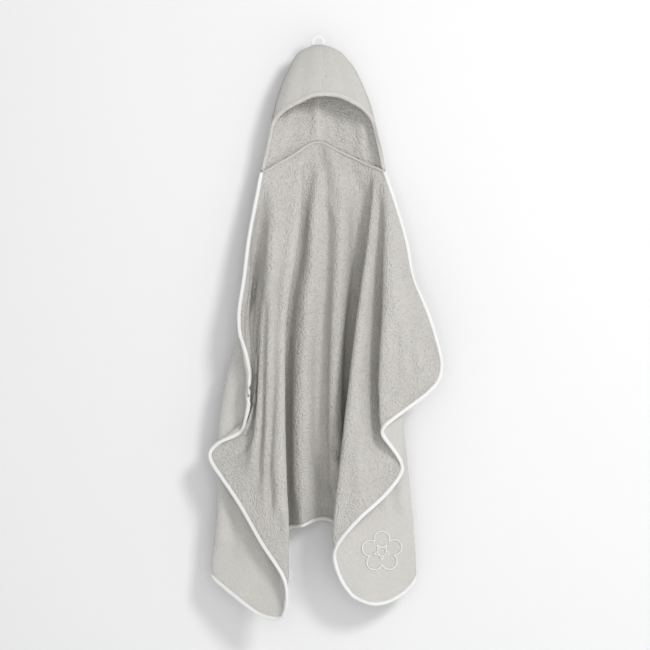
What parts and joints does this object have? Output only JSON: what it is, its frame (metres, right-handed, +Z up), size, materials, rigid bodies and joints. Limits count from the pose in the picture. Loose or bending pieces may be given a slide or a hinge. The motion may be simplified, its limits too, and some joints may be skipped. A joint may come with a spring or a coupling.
{
  "type": "hooded baby towel",
  "caption": "Hooded terry baby towel hung by its loop: draped body panel, open hood, white bound edge, line-stitched flower on one corner.",
  "frame": {"origin": "inside top of the hanging loop, where a wall peg carries the towel", "axes": "+Z up, +Y towards the wall, -Y out of the face opening of the hood, +X to the right as seen from the front"},
  "size_m": [0.4272, 0.0997, 1.061],
  "materials": {
    "terry": "warm light grey cotton terry, looped inside and sheared outside",
    "white_tape": "white woven cotton tape",
    "white_thread": "white satin-stitched embroidery thread",
    "seam_thread": "grey overlocked sewing thread",
    "label_satin": "plain white satin ribbon"
  },
  "bodies": {
    "root": {"body_panel": "terry", "hood_left_panel": "terry", "hood_right_panel": "terry", "hood_hem": "terry", "neck_seam": "seam_thread", "edge_binding": "white_tape", "hanging_loop": "white_tape", "flower_motif": "white_thread", "care_label": "label_satin"}
  },
  "joints": []
}
